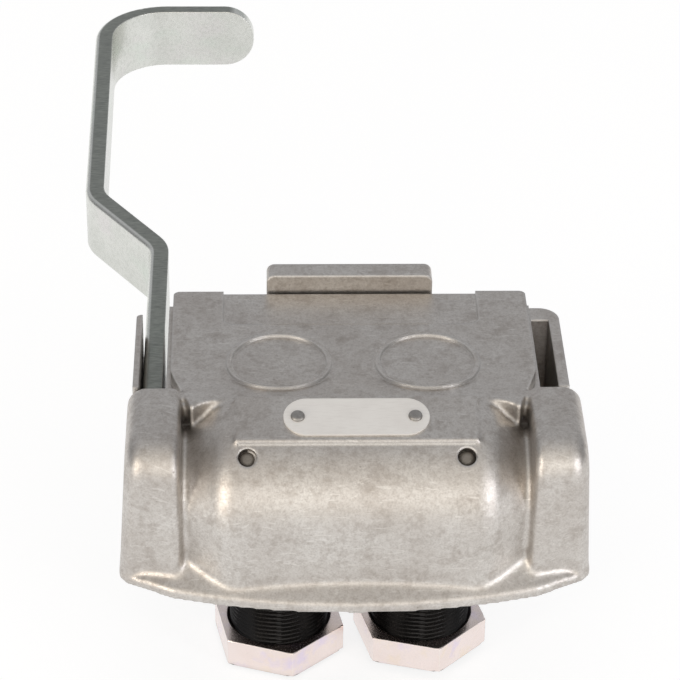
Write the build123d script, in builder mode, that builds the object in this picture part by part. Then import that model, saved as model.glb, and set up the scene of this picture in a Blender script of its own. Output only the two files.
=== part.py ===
from build123d import *
import os
from math import acos, atan2, cos, degrees, hypot, pi, radians, sin, tan

# Two-line pneumatic quick coupling, the half that is fixed to a bracket.
# +X is to the right, +Y away from the hinge, +Z up along the port axes.
# The origin lies midway between the port axes on the face that meets the bracket.

os.makedirs("parts", exist_ok=True)

# Fits and running clearances
press_gap = 0.02
fit_gap = 0.05
loose_gap = 0.2
seat_gap = 0.3

# Ports and threaded stubs
port_spacing = 43.2
thread_d = 30.0
stub_length = 30.0
stub_engagement = 18.0
stub_chamfer = 1.2
port_thread_d = 20.4
port_thread_depth = 16.0
port_bore_d = 15.0
stub_seal_d = 1.8
stub_seal_z = 13.0

# Lock nuts, run down by unlike amounts
nut_flats = 36.0
nut_height = 9.1
nut_face_share = 0.95
nut_top_break = 0.4
nut_bevel_angle = 30.0
nut_drop = {"left": 20.0, "right": 18.7}
nut_turn = {"left": 11.3, "right": 14.7}

# Valves
chamber_d = 25.0
throat_d = 18.0
throat_length = 9.0
face_seal_width = 4.5
face_seal_depth = 5.0
stem_d = 8.0
stem_overrun = 1.0
stem_short = 0.8
disc_gap = 1.2
disc_thick = 3.0
guide_rib = 2.4
valve_seal_thick = 2.0
spring_seat_thick = 2.5
valve_wire_d = 1.8
valve_coil_inset = 1.4
valve_pitch = 5.3
wire_sides = 6
air_hole_d = 2.6

# Base casting
foot_rim = 3.5
foot_height = 22.0
tower_wall = 3.5
deck_top = 66.0
deck_thick = 10.0
deck_half = 54.4
deck_rear = 40.0
wall = 4.0
wall_bottom = 28.0
rib_thick = 5.0
web_thick = 8.0
arm_inset = 1.4
arm_thick = 9.0
arm_r = 11.2
arm_spread = 13.0

# Channels beside the deck
lug_step = 1.0
lug_floor_drop = 2.75
lug_front = -2.0
left_lug_corner_r = 1.5
right_lug_corner_r = 6.0
left_lug_wall = 1.8
left_lug_rear = 37.0
right_channel = 5.6
right_lug_wall = 3.2
right_lug_web = 6.6

# Rear bar
bar_half = 25.0
bar_gap = 1.0
bar_depth = 6.7
bar_rise = 4.9
bar_shelf = 50.0
bar_corner_r = 2.4

# Hinge
hinge_drop = 18.5
pin_d = 12.0
pin_square = 8.4
pin_tip_d = 8.4
pin_end_chamfer = 0.8
bush_wall = 1.0
bush_flange_d = 18.0
bush_flange_thick = 1.0
clip_thick = 1.2
clip_d = 17.0
clip_bite = 0.8
clip_opening = 8.0
washer_thick = 1.5
washer_d = 20.0
spacer_d = 17.0
cross_pin_d = 5.0
cross_pin_inset = 1.5
cross_pin_sink = 1.4
cross_pin_dome = 1.8
cross_pin_x = 30.7
cross_pin_angle = 37.5
cross_hole_rim = 0.15

# Torsion spring
torsion_wire_d = 3.0
torsion_coil_gap = 0.5
deck_hub_gap = 2.5
torsion_turns = 7.25
torsion_pitch = 3.3
torsion_fixed_x = 2.0
torsion_leg = 19.0
abutment_front = 18.0
abutment_width = 7.0

# Cover casting
plate_thick = 5.0
plate_inset = 1.4
plate_corner_r = 2.0
plate_taper_y = -2.0
crease_y = -7.5
ramp_inset = 3.5
ramp_end_y = -27.8
slit = 1.2
notch_in = 35.0
notch_reach = 11.7
notch_depth = 5.4
barrel_r = 26.5
shoulder_slant = 8.0
valley_width = 3.0
shoulder_r = 12.0
valley_r = 5.0
front_draft = 4.0
foot_fillet_r = 2.0
core_depth = 16.5
core_lap = 2.5
shell = 4.0
brace_foot = 3.0
brace_top = 8.0
ear_back = 11.0
ear_front = 22.5
ear_foot_front = 17.5
ear_corner_r = 11.3
ear_edge_r = 6.0
ear_inner_r = 3.0
ear_draft = 3.5
ear_notch = 4.0
ear_notch_drop = 5.5
ear_wall = 3.7
ear_inner_wall = 4.7
lever_clearance = 0.7
flange_top = 27.4
flange_thick = 2.7
flange_reach = 4.1
flange_bow = 3.84
flange_end_set = 8.4
flange_corner_r = 3.0
hub_r = 9.5
hub_thick = 9.0
web_turn = 92.0

# Raised and sunk areas of the cover
panel_half = 38.0
panel_front = 22.0
panel_depth = 1.0
panel_corner_r = 3.0
ring_r = 15.3
ring_y = 1.0
ring_width = 1.5
ring_rise = 0.8
pad_half = 34.4
pad_start = 3.4
pad_rise = 2.3
pad_length = 17.2
pad_thick = 5.0
pad_angle = 14.5
pad_edge_r = 0.8

# Rating plate and its rivets
label_length = 41.2
label_width = 13.4
label_thick = 0.6
rivet_inset = 4.05
rivet_head_d = 4.0
rivet_head_rise = 0.9
rivet_crown_share = 0.9
rivet_shank_d = 2.4
rivet_length = 4.0

# Handle bar
bar_thick = 6.0
bar_width = 21.5
bar_edge_r = 1.8
bar_round_share = 0.49
channel_clearance = 0.5
jog_start_y = 88.3
jog_out = 22.1
jog_end_y = 120.7
hook_splay = 1.8
hook_y = 253.8
hook_length = 53.8
jog_r = 14.0
hook_r = 22.0

# Worked out from the sizes above
sides = {"left": -1, "right": 1}
port_x = {side: sign * port_spacing / 2 for side, sign in sides.items()}
thread_r = thread_d / 2
pin_r = pin_d / 2
bush_r = pin_r + fit_gap + bush_wall
chamber_r = chamber_d / 2
throat_r = throat_d / 2
foot_r = thread_r + foot_rim
tower_r = chamber_r + tower_wall

# Heights
deck_under = deck_top - deck_thick
seat_z = deck_top - face_seal_depth - throat_length
plate_under = deck_top + seat_gap
plate_top = plate_under + plate_thick
flange_under = flange_top - flange_thick
hinge_z = deck_top - hinge_drop
ear_top = hinge_z + barrel_r
lug_top = deck_top - lug_step
lug_floor = hinge_z - bar_width / 2 - lug_floor_drop

# From front to back, with the spring's coil just clear of the towers
torsion_coil_r = pin_r + torsion_coil_gap + torsion_wire_d / 2
coil_out_r = torsion_coil_r + torsion_wire_d / 2
hinge_y = -(tower_r + torsion_coil_gap + coil_out_r)
web_front = hinge_y + coil_out_r + seat_gap
deck_front = hinge_y + hub_r + deck_hub_gap
bar_front = deck_rear + bar_gap

# Along the hinge, from the middle outwards
arm_out = deck_half - arm_inset
arm_in = arm_out - arm_thick
washer_x = arm_out + bush_flange_thick + loose_gap
handle_x = -(washer_x + washer_thick + loose_gap + bar_thick / 2)
handle_out = bar_thick / 2 - handle_x
ear_cavity_in = washer_x
ear_cavity_out = handle_out + lever_clearance
ear_in = ear_cavity_in - ear_inner_wall
ear_out = ear_cavity_out + ear_wall
core_half = ear_in + core_lap
barrel_foot_half = ear_in - valley_width
barrel_half = barrel_foot_half - shoulder_slant
barrel_cavity_half = barrel_half - shell
rim_bow = flange_bow * (core_half / barrel_half) ** 2
cavity_r = barrel_r - shell
plate_half = deck_half - plate_inset
ramp_end_half = ear_in - ramp_inset
ear_top_out = ear_out - (ear_top - hinge_z) * tan(radians(ear_draft))
ear_foot_out = ear_out + (hinge_z - flange_under) * tan(radians(ear_draft))
clip_x = ear_cavity_out - loose_gap - clip_thick
moving_leg_x = torsion_fixed_x - torsion_turns * torsion_pitch

hinge_axis = Axis((0, hinge_y, hinge_z), (-1, 0, 0))
front_plane = Plane(origin=(0, hinge_y, hinge_z), x_dir=(1, 0, 0), z_dir=(0, 0, -1))
pad_plane = Plane(
    origin=(0, hinge_y + pad_start, ear_top + pad_rise),
    x_dir=(1, 0, 0),
    z_dir=(0, -sin(radians(pad_angle)), cos(radians(pad_angle))),
)
rivet_x = label_length / 2 - rivet_inset


def across(x):
    """Plane square to the hinge, its x along Y and its y along Z."""
    return Plane.YZ.offset(x)


def radial(x, angle):
    """Plane at the hinge axis, facing out at an angle forward of straight up."""
    lean = radians(angle)
    return Plane(origin=(x, hinge_y, hinge_z), x_dir=(1, 0, 0), z_dir=(0, -sin(lean), cos(lean)))


# Base housing: foot, two valve towers, ribbed deck, hinge arms, side channels and rear bar

with BuildPart() as base_housing:
    with BuildSketch(Plane.XY):
        SlotCenterToCenter(port_spacing, 2 * foot_r)
    extrude(amount=foot_height)
    with BuildSketch(Plane.XY.offset(foot_height)):
        with GridLocations(port_spacing, 0, 2, 1):
            Circle(tower_r)
        with Locations((0, deck_rear)):
            Rectangle(web_thick, deck_rear - web_front, align=(Align.CENTER, Align.MAX))
    extrude(amount=deck_under - foot_height)
    with BuildSketch(Plane.XY.offset(deck_under)):
        with Locations((0, deck_rear)):
            Rectangle(2 * deck_half, deck_rear - deck_front, align=(Align.CENTER, Align.MAX))
    extrude(amount=deck_thick)

    # Side and rear walls, with ribs that tie them to the towers
    with BuildSketch(Plane.XY.offset(wall_bottom)):
        with Locations((0, deck_rear)):
            Rectangle(2 * deck_half, deck_rear - deck_front - wall, align=(Align.CENTER, Align.MAX))
        with Locations((0, deck_rear - wall)):
            Rectangle(
                2 * (deck_half - wall),
                deck_rear - deck_front,
                align=(Align.CENTER, Align.MAX),
                mode=Mode.SUBTRACT,
            )
        Rectangle(2 * deck_half, rib_thick)
        with Locations((port_x["left"], deck_rear), (port_x["right"], deck_rear)):
            Rectangle(rib_thick, deck_rear, align=(Align.CENTER, Align.MAX))
    extrude(amount=deck_under - wall_bottom)

    # Arms that carry the hinge pin
    for sign in sides.values():
        with BuildSketch(across(sign * (arm_in + arm_out) / 2)):
            with BuildLine():
                Polyline(
                    (hinge_y, hinge_z + arm_r),
                    (deck_front + wall, hinge_z + arm_spread),
                    (deck_front + wall, hinge_z - arm_spread),
                    (hinge_y, hinge_z - arm_r),
                    close=True,
                )
            make_face()
            with Locations((hinge_y, hinge_z)):
                Circle(arm_r)
        extrude(amount=(arm_out - arm_in) / 2, both=True)

    # Channel on the left for the handle, open to the rear, and a closed one on the right
    left_channel = handle_out + channel_clearance - deck_half
    for sign, channel, lug_wall, lug_rear, web, corner_r in (
        (-1, left_channel, left_lug_wall, left_lug_rear, 0, left_lug_corner_r),
        (1, right_channel, right_lug_wall, deck_rear, right_lug_web, right_lug_corner_r),
    ):
        outer = deck_half + channel + lug_wall
        with BuildSketch(Plane.XY.offset(lug_floor - wall)):
            with Locations((sign * (deck_half + outer) / 2, (lug_front + lug_rear) / 2)):
                Rectangle(outer - deck_half, lug_rear - lug_front)
        extrude(amount=lug_top - lug_floor + wall)
        corner = edges(Select.LAST).filter_by(Axis.Z).sort_by(Axis.Y)[-2:]
        fillet(corner.sort_by(Axis.X)[-1 if sign > 0 else 0], radius=corner_r)
        with BuildSketch(Plane.XY.offset(lug_floor)):
            with Locations((sign * (deck_half + channel / 2), (lug_front + lug_rear - web) / 2)):
                Rectangle(channel, lug_rear - web - lug_front)
        extrude(amount=lug_top - lug_floor, mode=Mode.SUBTRACT)

    # Rear bar on its shelf
    with BuildSketch(Plane.YZ):
        with BuildLine():
            Polyline(
                (deck_rear - wall, bar_shelf - bar_depth),
                (deck_rear, bar_shelf - bar_depth),
                (bar_front + bar_depth, bar_shelf),
                (bar_front + bar_depth, plate_top + bar_rise),
                (bar_front, plate_top + bar_rise),
                (bar_front, deck_top - wall),
                (deck_rear - wall, deck_top - wall),
                close=True,
            )
        make_face()
    extrude(amount=bar_half, both=True)
    bar_corners = edges().filter_by(Axis.Y).group_by(Axis.Z)[-1]
    fillet(bar_corners, radius=bar_corner_r)

    # Bores of the two valves
    for x in port_x.values():
        for bore_r, low, high in (
            (thread_r + fit_gap, 0, stub_engagement),
            (chamber_r, stub_engagement, seat_z),
            (throat_r, seat_z, deck_top - face_seal_depth),
            (throat_r + face_seal_width, deck_top - face_seal_depth, deck_top),
        ):
            with BuildSketch(Plane.XY.offset(low)):
                with Locations((x, 0)):
                    Circle(bore_r)
            extrude(amount=high - low, mode=Mode.SUBTRACT)

    # Bush bores through both arms
    with BuildSketch(Plane.YZ):
        with Locations((hinge_y, hinge_z)):
            Circle(bush_r)
    extrude(amount=deck_half, both=True, mode=Mode.SUBTRACT)

base_housing.part.label = "base_housing"
export_step(base_housing.part, "parts/base_housing.step")


# Cover: plate, ramp, hinge barrel, two hollow ears and a bowed flange, cast in one

ramp_angle = degrees(
    atan2(plate_top - hinge_z, crease_y - hinge_y)
    + acos(barrel_r / hypot(plate_top - hinge_z, crease_y - hinge_y))
)
ear_slant = (ear_front - ear_foot_front) / (ear_top - flange_under)


def plate_profile(lift):
    """Side view of the plate and the ramp, whose top runs tangent into the barrel."""
    with BuildSketch(Plane.YZ) as profile:
        with BuildLine():
            crown = CenterArc((hinge_y, hinge_z + lift), barrel_r, ramp_angle, 90 - ramp_angle)
            Polyline(
                crown @ 0,
                (crease_y, plate_top + lift),
                (deck_rear, plate_top + lift),
                (deck_rear, plate_under),
                (hinge_y, plate_under),
                crown @ 1,
            )
        make_face()
    return profile.sketch


def barrel_profile():
    """Plan of the barrel and the valleys beside it, in the level plane of the hinge."""
    with BuildSketch(front_plane) as profile:
        with BuildLine():
            Polyline(
                (-core_half, 0),
                (-core_half, core_depth),
                (-barrel_foot_half, core_depth),
                (-barrel_half, barrel_r),
                (barrel_half, barrel_r),
                (barrel_foot_half, core_depth),
                (core_half, core_depth),
                (core_half, 0),
                close=True,
            )
        make_face()
        fillet(profile.vertices().group_by(Axis.Y)[-1], radius=shoulder_r)
        feet = profile.vertices().filter_by(lambda v: abs(abs(v.X) - barrel_foot_half) < fit_gap)
        fillet(feet, radius=valley_r)
    return profile.sketch


flat_profile = plate_profile(0)
ring_profile = plate_profile(ring_rise)

with BuildPart() as port_rings:
    extrude(ring_profile, amount=plate_half, both=True)
    with BuildSketch(Plane.XY.offset(plate_under)):
        with Locations((port_x["left"], ring_y), (port_x["right"], ring_y)):
            Circle(ring_r)
            Circle(ring_r - ring_width, mode=Mode.SUBTRACT)
    extrude(amount=2 * plate_thick + barrel_r, mode=Mode.INTERSECT)

with BuildPart() as ear:
    with BuildSketch(across(-ear_in)) as ear_side:
        with BuildLine():
            Polyline(
                (hinge_y + ear_back, ear_top),
                (hinge_y - ear_front, ear_top),
                (hinge_y - ear_foot_front, flange_under),
                (hinge_y - ear_notch, flange_under),
                (hinge_y + ear_back, hinge_z - ear_notch_drop),
                close=True,
            )
        make_face()
        nose = ear_side.vertices().sort_by_distance((hinge_y - ear_front, ear_top))[0]
        fillet(nose, radius=ear_corner_r)
    extrude(amount=ear_in - ear_foot_out)
    with BuildSketch(Plane.XZ):
        with BuildLine():
            Polyline(
                (-ear_foot_out, flange_under),
                (-ear_top_out, ear_top),
                (-ear_foot_out, ear_top),
                close=True,
            )
        make_face()
    extrude(amount=2 * deck_rear, both=True, mode=Mode.SUBTRACT)
    outer_edges = faces().sort_by(Axis.X)[0].edges().sort_by(Axis.Y)
    foot_edge = edges().filter_by(Axis.X).group_by(Axis.Z)[0].sort_by(Axis.Y)[0]
    fillet([outer_edges[0], outer_edges[1], foot_edge], radius=ear_edge_r)
    inner_edges = faces().sort_by(Axis.X)[-1].edges().sort_by(Axis.Y)
    fillet(inner_edges[0], radius=ear_inner_r)

with BuildPart() as cover:
    extrude(flat_profile, amount=plate_half, both=True)
    with BuildSketch(Plane.XY.offset(plate_under)):
        with BuildLine() as plan:
            Polyline(
                (0, deck_rear),
                (plate_half, deck_rear),
                (plate_half, plate_taper_y),
                (ramp_end_half, ramp_end_y),
                (0, ramp_end_y),
            )
            mirror(plan.line, Plane.YZ)
        make_face()
    extrude(amount=2 * plate_thick + barrel_r, mode=Mode.INTERSECT)
    rear_corners = edges().filter_by(Axis.Z).group_by(Axis.Y)[-1]
    fillet(rear_corners, radius=plate_corner_r)

    # Notches that let the round shoulders show at the ramp's front corners
    with BuildSketch(Plane.XY.offset(plate_under)):
        with Locations((-notch_in, hinge_y), (notch_in, hinge_y)):
            Ellipse(notch_reach, notch_depth)
        with Locations((0, hinge_y)):
            Rectangle(2 * notch_in, 2 * notch_depth, mode=Mode.SUBTRACT)
    extrude(amount=2 * plate_thick + barrel_r, mode=Mode.SUBTRACT)

    # Pad for the rating plate
    with BuildSketch(pad_plane):
        Rectangle(2 * pad_half, pad_length, align=(Align.CENTER, Align.MAX))
    extrude(amount=-pad_thick)
    pad_top = faces().sort_by(Axis((0, 0, 0), pad_plane.z_dir))[-1]
    fillet(pad_top.edges(), radius=pad_edge_r)

    # Barrel, whose round shoulders run down into valleys beside the ears
    plan = barrel_profile()
    revolve(plan, axis=hinge_axis, revolution_arc=180)
    extrude(plan, amount=hinge_z - flange_under, dir=(0, 0, -1), taper=front_draft)

    # Ears over the ends of the pin
    add(ear.part)
    add(ear.part.mirror(Plane.YZ))

    # Bowed flange at the foot
    with BuildSketch(Plane.XY.offset(flange_under)) as flange:
        rim_y = hinge_y - barrel_r - flange_reach + rim_bow
        with BuildLine():
            rim = ThreePointArc((-core_half, rim_y), (0, rim_y - rim_bow), (core_half, rim_y))
            Polyline(
                rim @ 1,
                (ear_foot_out, rim_y + flange_end_set),
                (ear_foot_out, hinge_y - ear_notch),
                (-ear_foot_out, hinge_y - ear_notch),
                (-ear_foot_out, rim_y + flange_end_set),
                rim @ 0,
            )
        make_face()
        ends = flange.vertices().filter_by(lambda v: abs(v.Y - rim_y - flange_end_set) < fit_gap)
        fillet(ends, radius=flange_corner_r)
    extrude(amount=flange_thick)
    foot = edges().filter_by(lambda e: abs(e.center().Z - flange_top) < fit_gap)
    foot = foot.filter_by(lambda e: abs(e.center().X) < ear_in and hinge_y - barrel_r < e.center().Y)
    foot = foot.filter_by(lambda e: e.center().Y < hinge_y - barrel_r / 2)
    fillet(foot, radius=foot_fillet_r)

    # Hollow over the hinge, open below and behind
    for x_low, x_high, depth, foot, top in (
        (-ear_cavity_in, -barrel_cavity_half, core_depth - shell, brace_foot, brace_top),
        (-barrel_cavity_half, barrel_cavity_half, cavity_r, 0, 0),
        (barrel_cavity_half, ear_cavity_in, core_depth - shell, brace_foot, brace_top),
    ):
        with BuildSketch(across(x_low)):
            with Locations((hinge_y, hinge_z)):
                Circle(depth)
                Rectangle(depth, hinge_z, align=(Align.MAX, Align.MAX))
                Rectangle(2 * deck_rear, hinge_z, align=(Align.MIN, Align.MAX))
            with BuildLine():
                Polyline(
                    (hinge_y + foot, hinge_z),
                    (hinge_y + foot, hinge_z + arm_spread),
                    (hinge_y + top, plate_under),
                    (deck_rear + shell, plate_under),
                    (deck_rear + shell, hinge_z),
                    close=True,
                )
            make_face()
        extrude(amount=x_high - x_low, mode=Mode.SUBTRACT)
    for sign in sides.values():
        with BuildSketch(across(sign * (ear_cavity_in + ear_cavity_out) / 2)) as hollow:
            with BuildLine():
                Polyline(
                    (deck_rear, ear_top - shell),
                    (hinge_y - ear_front + shell * (1 + ear_slant), ear_top - shell),
                    (hinge_y - ear_foot_front + shell * (1 + ear_slant), flange_under - shell),
                    (deck_rear, flange_under - shell),
                    close=True,
                )
            make_face()
            nose = hollow.vertices().sort_by_distance((hinge_y - ear_front, ear_top))[0]
            fillet(nose, radius=ear_corner_r - shell)
        extrude(amount=(ear_cavity_out - ear_cavity_in) / 2, both=True, mode=Mode.SUBTRACT)

    # Slits that part the ramp from the ears
    for sign in sides.values():
        with BuildSketch(Plane.XY.offset(ear_top + shell)):
            with BuildLine():
                Polyline(
                    (sign * plate_half, plate_taper_y),
                    (sign * ramp_end_half, ramp_end_y),
                    (sign * (ramp_end_half + slit), ramp_end_y),
                    (sign * (plate_half + slit), plate_taper_y),
                    close=True,
                )
            make_face()
        extrude(amount=-(ear_top + shell - hinge_z), mode=Mode.SUBTRACT)

    # Webs with hubs that hold the pin, drilled for the cross pins
    for x in (-cross_pin_x, cross_pin_x):
        with BuildSketch(across(x)):
            with BuildLine():
                sweep_arc = CenterArc((hinge_y, hinge_z), cavity_r + shell / 2, 180 - web_turn, web_turn)
                Polyline(sweep_arc @ 1, (hinge_y, hinge_z), sweep_arc @ 0)
            make_face()
            with Locations((hinge_y, hinge_z)):
                Circle(hub_r)
        extrude(amount=hub_thick / 2, both=True)
        with BuildSketch(radial(x, cross_pin_angle).offset(-hub_r)):
            Circle(cross_pin_d / 2 + press_gap)
        extrude(amount=2 * barrel_r, mode=Mode.SUBTRACT)
        with BuildSketch(radial(x, cross_pin_angle).offset(barrel_r - cross_pin_sink - cross_pin_dome)):
            Circle(cross_pin_d / 2 + cross_hole_rim)
        extrude(amount=barrel_r, mode=Mode.SUBTRACT)
    with BuildSketch(across(-cross_pin_x)):
        with Locations((hinge_y, hinge_z)):
            Circle(cavity_r + shell / 2)
        with Locations((hinge_y - abutment_front, hinge_z + coil_out_r + seat_gap)):
            Rectangle(
                abutment_width,
                barrel_r,
                align=(Align.MIN, Align.MIN),
                mode=Mode.INTERSECT,
            )
    extrude(amount=moving_leg_x + torsion_wire_d / 2 + cross_pin_x)
    with BuildSketch(across(-ear_cavity_in)):
        with Locations((hinge_y, hinge_z)):
            Circle(pin_r + press_gap)
    extrude(amount=ear_cavity_in + ear_foot_out, mode=Mode.SUBTRACT)
    with BuildSketch(across(-ear_cavity_out)):
        with Locations((hinge_y, hinge_z)):
            Circle(pin_tip_d / 2 + press_gap)
    extrude(amount=-ear_wall + bush_wall, mode=Mode.SUBTRACT)

    # Raised rings over the ports, and the sunk panel at the rear edge
    add(port_rings.part)
    with BuildSketch(Plane.XY.offset(plate_top)) as panel:
        with Locations((0, panel_front)):
            Rectangle(2 * panel_half, deck_rear, align=(Align.CENTER, Align.MIN))
        fillet(panel.vertices().group_by(Axis.Y)[0], radius=panel_corner_r)
    extrude(amount=-panel_depth, mode=Mode.SUBTRACT)

    # Blind holes for the rivets
    with BuildSketch(pad_plane):
        with Locations((-rivet_x, -pad_length / 2), (rivet_x, -pad_length / 2)):
            Circle(rivet_shank_d / 2 + press_gap)
    extrude(amount=-rivet_length, mode=Mode.SUBTRACT)

cover.part.label = "cover"
export_step(cover.part, "parts/cover.step")


# Hinge pin with a square for the handle, a turned tip, a clip groove and two cross holes

square_end_x = handle_x + bar_thick / 2 + loose_gap

with BuildPart() as hinge_pin:
    with BuildSketch(across(square_end_x)):
        with Locations((hinge_y, hinge_z)):
            Circle(pin_r)
    extrude(amount=ear_out - loose_gap - square_end_x)
    chamfer(edges().group_by(Axis.X)[-1], length=pin_end_chamfer)
    with BuildSketch(across(square_end_x)):
        with Locations((hinge_y, hinge_z)):
            Rectangle(pin_square, pin_square)
    extrude(amount=-(square_end_x + ear_cavity_out))
    with BuildSketch(across(-ear_cavity_out)):
        with Locations((hinge_y, hinge_z)):
            Circle(pin_tip_d / 2)
    extrude(amount=-(ear_wall - bush_wall - loose_gap))
    with BuildSketch(across(clip_x)):
        with Locations((hinge_y, hinge_z)):
            Circle(pin_d)
            Circle(pin_r - clip_bite, mode=Mode.SUBTRACT)
    extrude(amount=clip_thick, mode=Mode.SUBTRACT)
    for x in (-cross_pin_x, cross_pin_x):
        with BuildSketch(radial(x, cross_pin_angle)):
            Circle(cross_pin_d / 2 + press_gap)
        extrude(amount=pin_d, both=True, mode=Mode.SUBTRACT)

hinge_pin.part.label = "hinge_pin"
export_step(hinge_pin.part, "parts/hinge_pin.step")


# Cross pins that lock the cover to the hinge pin, domed at the end that shows

with BuildPart() as cross_pins:
    for x in (-cross_pin_x, cross_pin_x):
        with BuildSketch(radial(x, cross_pin_angle).offset(cross_pin_inset - hub_r)):
            Circle(cross_pin_d / 2)
        extrude(amount=hub_r - cross_pin_inset + barrel_r - cross_pin_sink)
    ends = edges().sort_by(Axis((0, 0, 0), radial(0, cross_pin_angle).z_dir))[-2:]
    fillet(ends, radius=cross_pin_dome)

cross_pins.part.label = "cross_pins"
export_step(cross_pins.part, "parts/cross_pins.step")


# Retaining clip in the groove at the right end of the pin

with BuildPart() as pin_clip:
    with BuildSketch(across(clip_x)):
        with Locations((hinge_y, hinge_z)):
            Circle(clip_d / 2)
            Circle(pin_r - clip_bite, mode=Mode.SUBTRACT)
            Rectangle(clip_opening, clip_d, align=(Align.CENTER, Align.MAX), mode=Mode.SUBTRACT)
    extrude(amount=clip_thick)

pin_clip.part.label = "pin_clip"
export_step(pin_clip.part, "parts/pin_clip.step")


# Flanged bushes in the arms

for side, sign in sides.items():
    with BuildPart() as hinge_bush:
        with BuildSketch(across(sign * arm_in)):
            with Locations((hinge_y, hinge_z)):
                Circle(bush_r - press_gap)
        extrude(amount=sign * (arm_out - arm_in))
        with BuildSketch(across(sign * arm_out)):
            with Locations((hinge_y, hinge_z)):
                Circle(bush_flange_d / 2)
        extrude(amount=sign * bush_flange_thick)
        with BuildSketch(across(sign * arm_in)):
            with Locations((hinge_y, hinge_z)):
                Circle(pin_r + fit_gap)
        extrude(amount=sign * (arm_out - arm_in + bush_flange_thick), mode=Mode.SUBTRACT)
    hinge_bush.part.label = f"hinge_bush_{side}"
    export_step(hinge_bush.part, f"parts/hinge_bush_{side}.step")


# Washer between the left bush and the handle, and the sleeve that fills the handle's place on the right

with BuildPart() as handle_washer:
    with BuildSketch(across(-washer_x)):
        with Locations((hinge_y, hinge_z)):
            Circle(washer_d / 2)
            Circle(pin_r + fit_gap, mode=Mode.SUBTRACT)
    extrude(amount=-washer_thick)

handle_washer.part.label = "handle_washer"
export_step(handle_washer.part, "parts/handle_washer.step")

with BuildPart() as pin_spacer:
    with BuildSketch(across(washer_x)):
        with Locations((hinge_y, hinge_z)):
            Circle(spacer_d / 2)
            Circle(pin_r + fit_gap, mode=Mode.SUBTRACT)
    extrude(amount=clip_x - loose_gap - washer_x)

pin_spacer.part.label = "pin_spacer"
export_step(pin_spacer.part, "parts/pin_spacer.step")


# Handle: one flat bar on edge, jogged outwards and hooked across behind the body

hook_x = handle_x - jog_out - hook_splay

with BuildPart() as handle:
    with BuildSketch(Plane.XY.offset(hinge_z)) as bar_plan:
        with BuildLine() as bar_line:
            FilletPolyline(
                (handle_x, hinge_y - bar_width / 2),
                (handle_x, jog_start_y),
                (handle_x - jog_out, jog_end_y),
                (hook_x, hook_y),
                (hook_x + hook_length, hook_y),
                radius=[jog_r, jog_r, hook_r],
            )
        trace(line_width=bar_thick)
    extrude(amount=bar_width / 2, both=True)
    eye_edges = edges().filter_by(Axis.X).group_by(Axis.Y)[0]
    fillet(eye_edges, radius=bar_round_share * bar_width)
    tip_edges = edges().filter_by(Axis.Y).group_by(Axis.X)[-1]
    fillet(tip_edges, radius=bar_round_share * bar_width)
    outer_rim = faces().sort_by(Axis.X)[0].edges().sort_by(Axis.Z)[-1]
    fillet(outer_rim, radius=bar_edge_r)
    with BuildSketch(across(handle_x)):
        with Locations((hinge_y, hinge_z)):
            Rectangle(pin_square + 2 * fit_gap, pin_square + 2 * fit_gap)
    extrude(amount=bar_thick, both=True, mode=Mode.SUBTRACT)

handle.part.label = "handle"
export_step(handle.part, "parts/handle.step")


# Torsion spring that closes the cover: one leg on the base's web, one under the barrel

with BuildPart() as torsion_spring:
    with BuildLine() as coil:
        Helix(
            pitch=torsion_pitch,
            height=torsion_turns * torsion_pitch,
            radius=torsion_coil_r,
            center=(moving_leg_x, hinge_y, hinge_z),
            direction=(1, 0, 0),
            lefthand=True,
        )
    with BuildSketch(Plane(origin=coil.line @ 0, z_dir=coil.line % 0)):
        RegularPolygon(torsion_wire_d / 2, wire_sides)
    sweep(path=coil.line, is_frenet=True)
    with BuildSketch(Plane(origin=coil.line @ 0, z_dir=coil.line % 0)):
        RegularPolygon(torsion_wire_d / 2, wire_sides)
    extrude(amount=-torsion_leg)
    with BuildSketch(Plane(origin=coil.line @ 1, z_dir=coil.line % 1)):
        RegularPolygon(torsion_wire_d / 2, wire_sides)
    extrude(amount=torsion_leg)

torsion_spring.part.label = "torsion_spring"
export_step(torsion_spring.part, "parts/torsion_spring.step")


# Rating plate on the pad, and its two rivets

with BuildPart() as rating_plate:
    with BuildSketch(pad_plane):
        with Locations((0, -pad_length / 2)):
            SlotOverall(label_length, label_width)
            with GridLocations(2 * rivet_x, 0, 2, 1):
                Circle(rivet_shank_d / 2 + press_gap, mode=Mode.SUBTRACT)
    extrude(amount=label_thick)

rating_plate.part.label = "rating_plate"
export_step(rating_plate.part, "parts/rating_plate.step")

with BuildPart() as plate_rivets:
    with BuildSketch(pad_plane.offset(label_thick)):
        with Locations((-rivet_x, -pad_length / 2), (rivet_x, -pad_length / 2)):
            Circle(rivet_head_d / 2)
    extrude(amount=rivet_head_rise)
    crowns = edges().sort_by(Axis((0, 0, 0), pad_plane.z_dir))[-2:]
    fillet(crowns, radius=rivet_crown_share * rivet_head_rise)
    with BuildSketch(pad_plane.offset(label_thick)):
        with Locations((-rivet_x, -pad_length / 2), (rivet_x, -pad_length / 2)):
            Circle(rivet_shank_d / 2)
    extrude(amount=-(rivet_length + label_thick - loose_gap))

plate_rivets.part.label = "plate_rivets"
export_step(plate_rivets.part, "parts/plate_rivets.step")


# Valve line on each port, from the stub below to the face seal above

nut_face_r = nut_face_share * nut_flats / 2
nut_corner_r = nut_flats / 2 / cos(pi / 6)
nut_bevel = (nut_corner_r - nut_face_r) * tan(radians(nut_bevel_angle))
stem_top = deck_top - stem_short
disc_r = chamber_r - disc_gap
disc_top = seat_z - valve_seal_thick
disc_low = disc_top - disc_thick
stem_low = stub_engagement - stem_overrun
spring_low = stub_engagement + spring_seat_thick
valve_coil_r = disc_r - valve_coil_inset - valve_wire_d / 2
groove_r = thread_r - stub_seal_d

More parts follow.
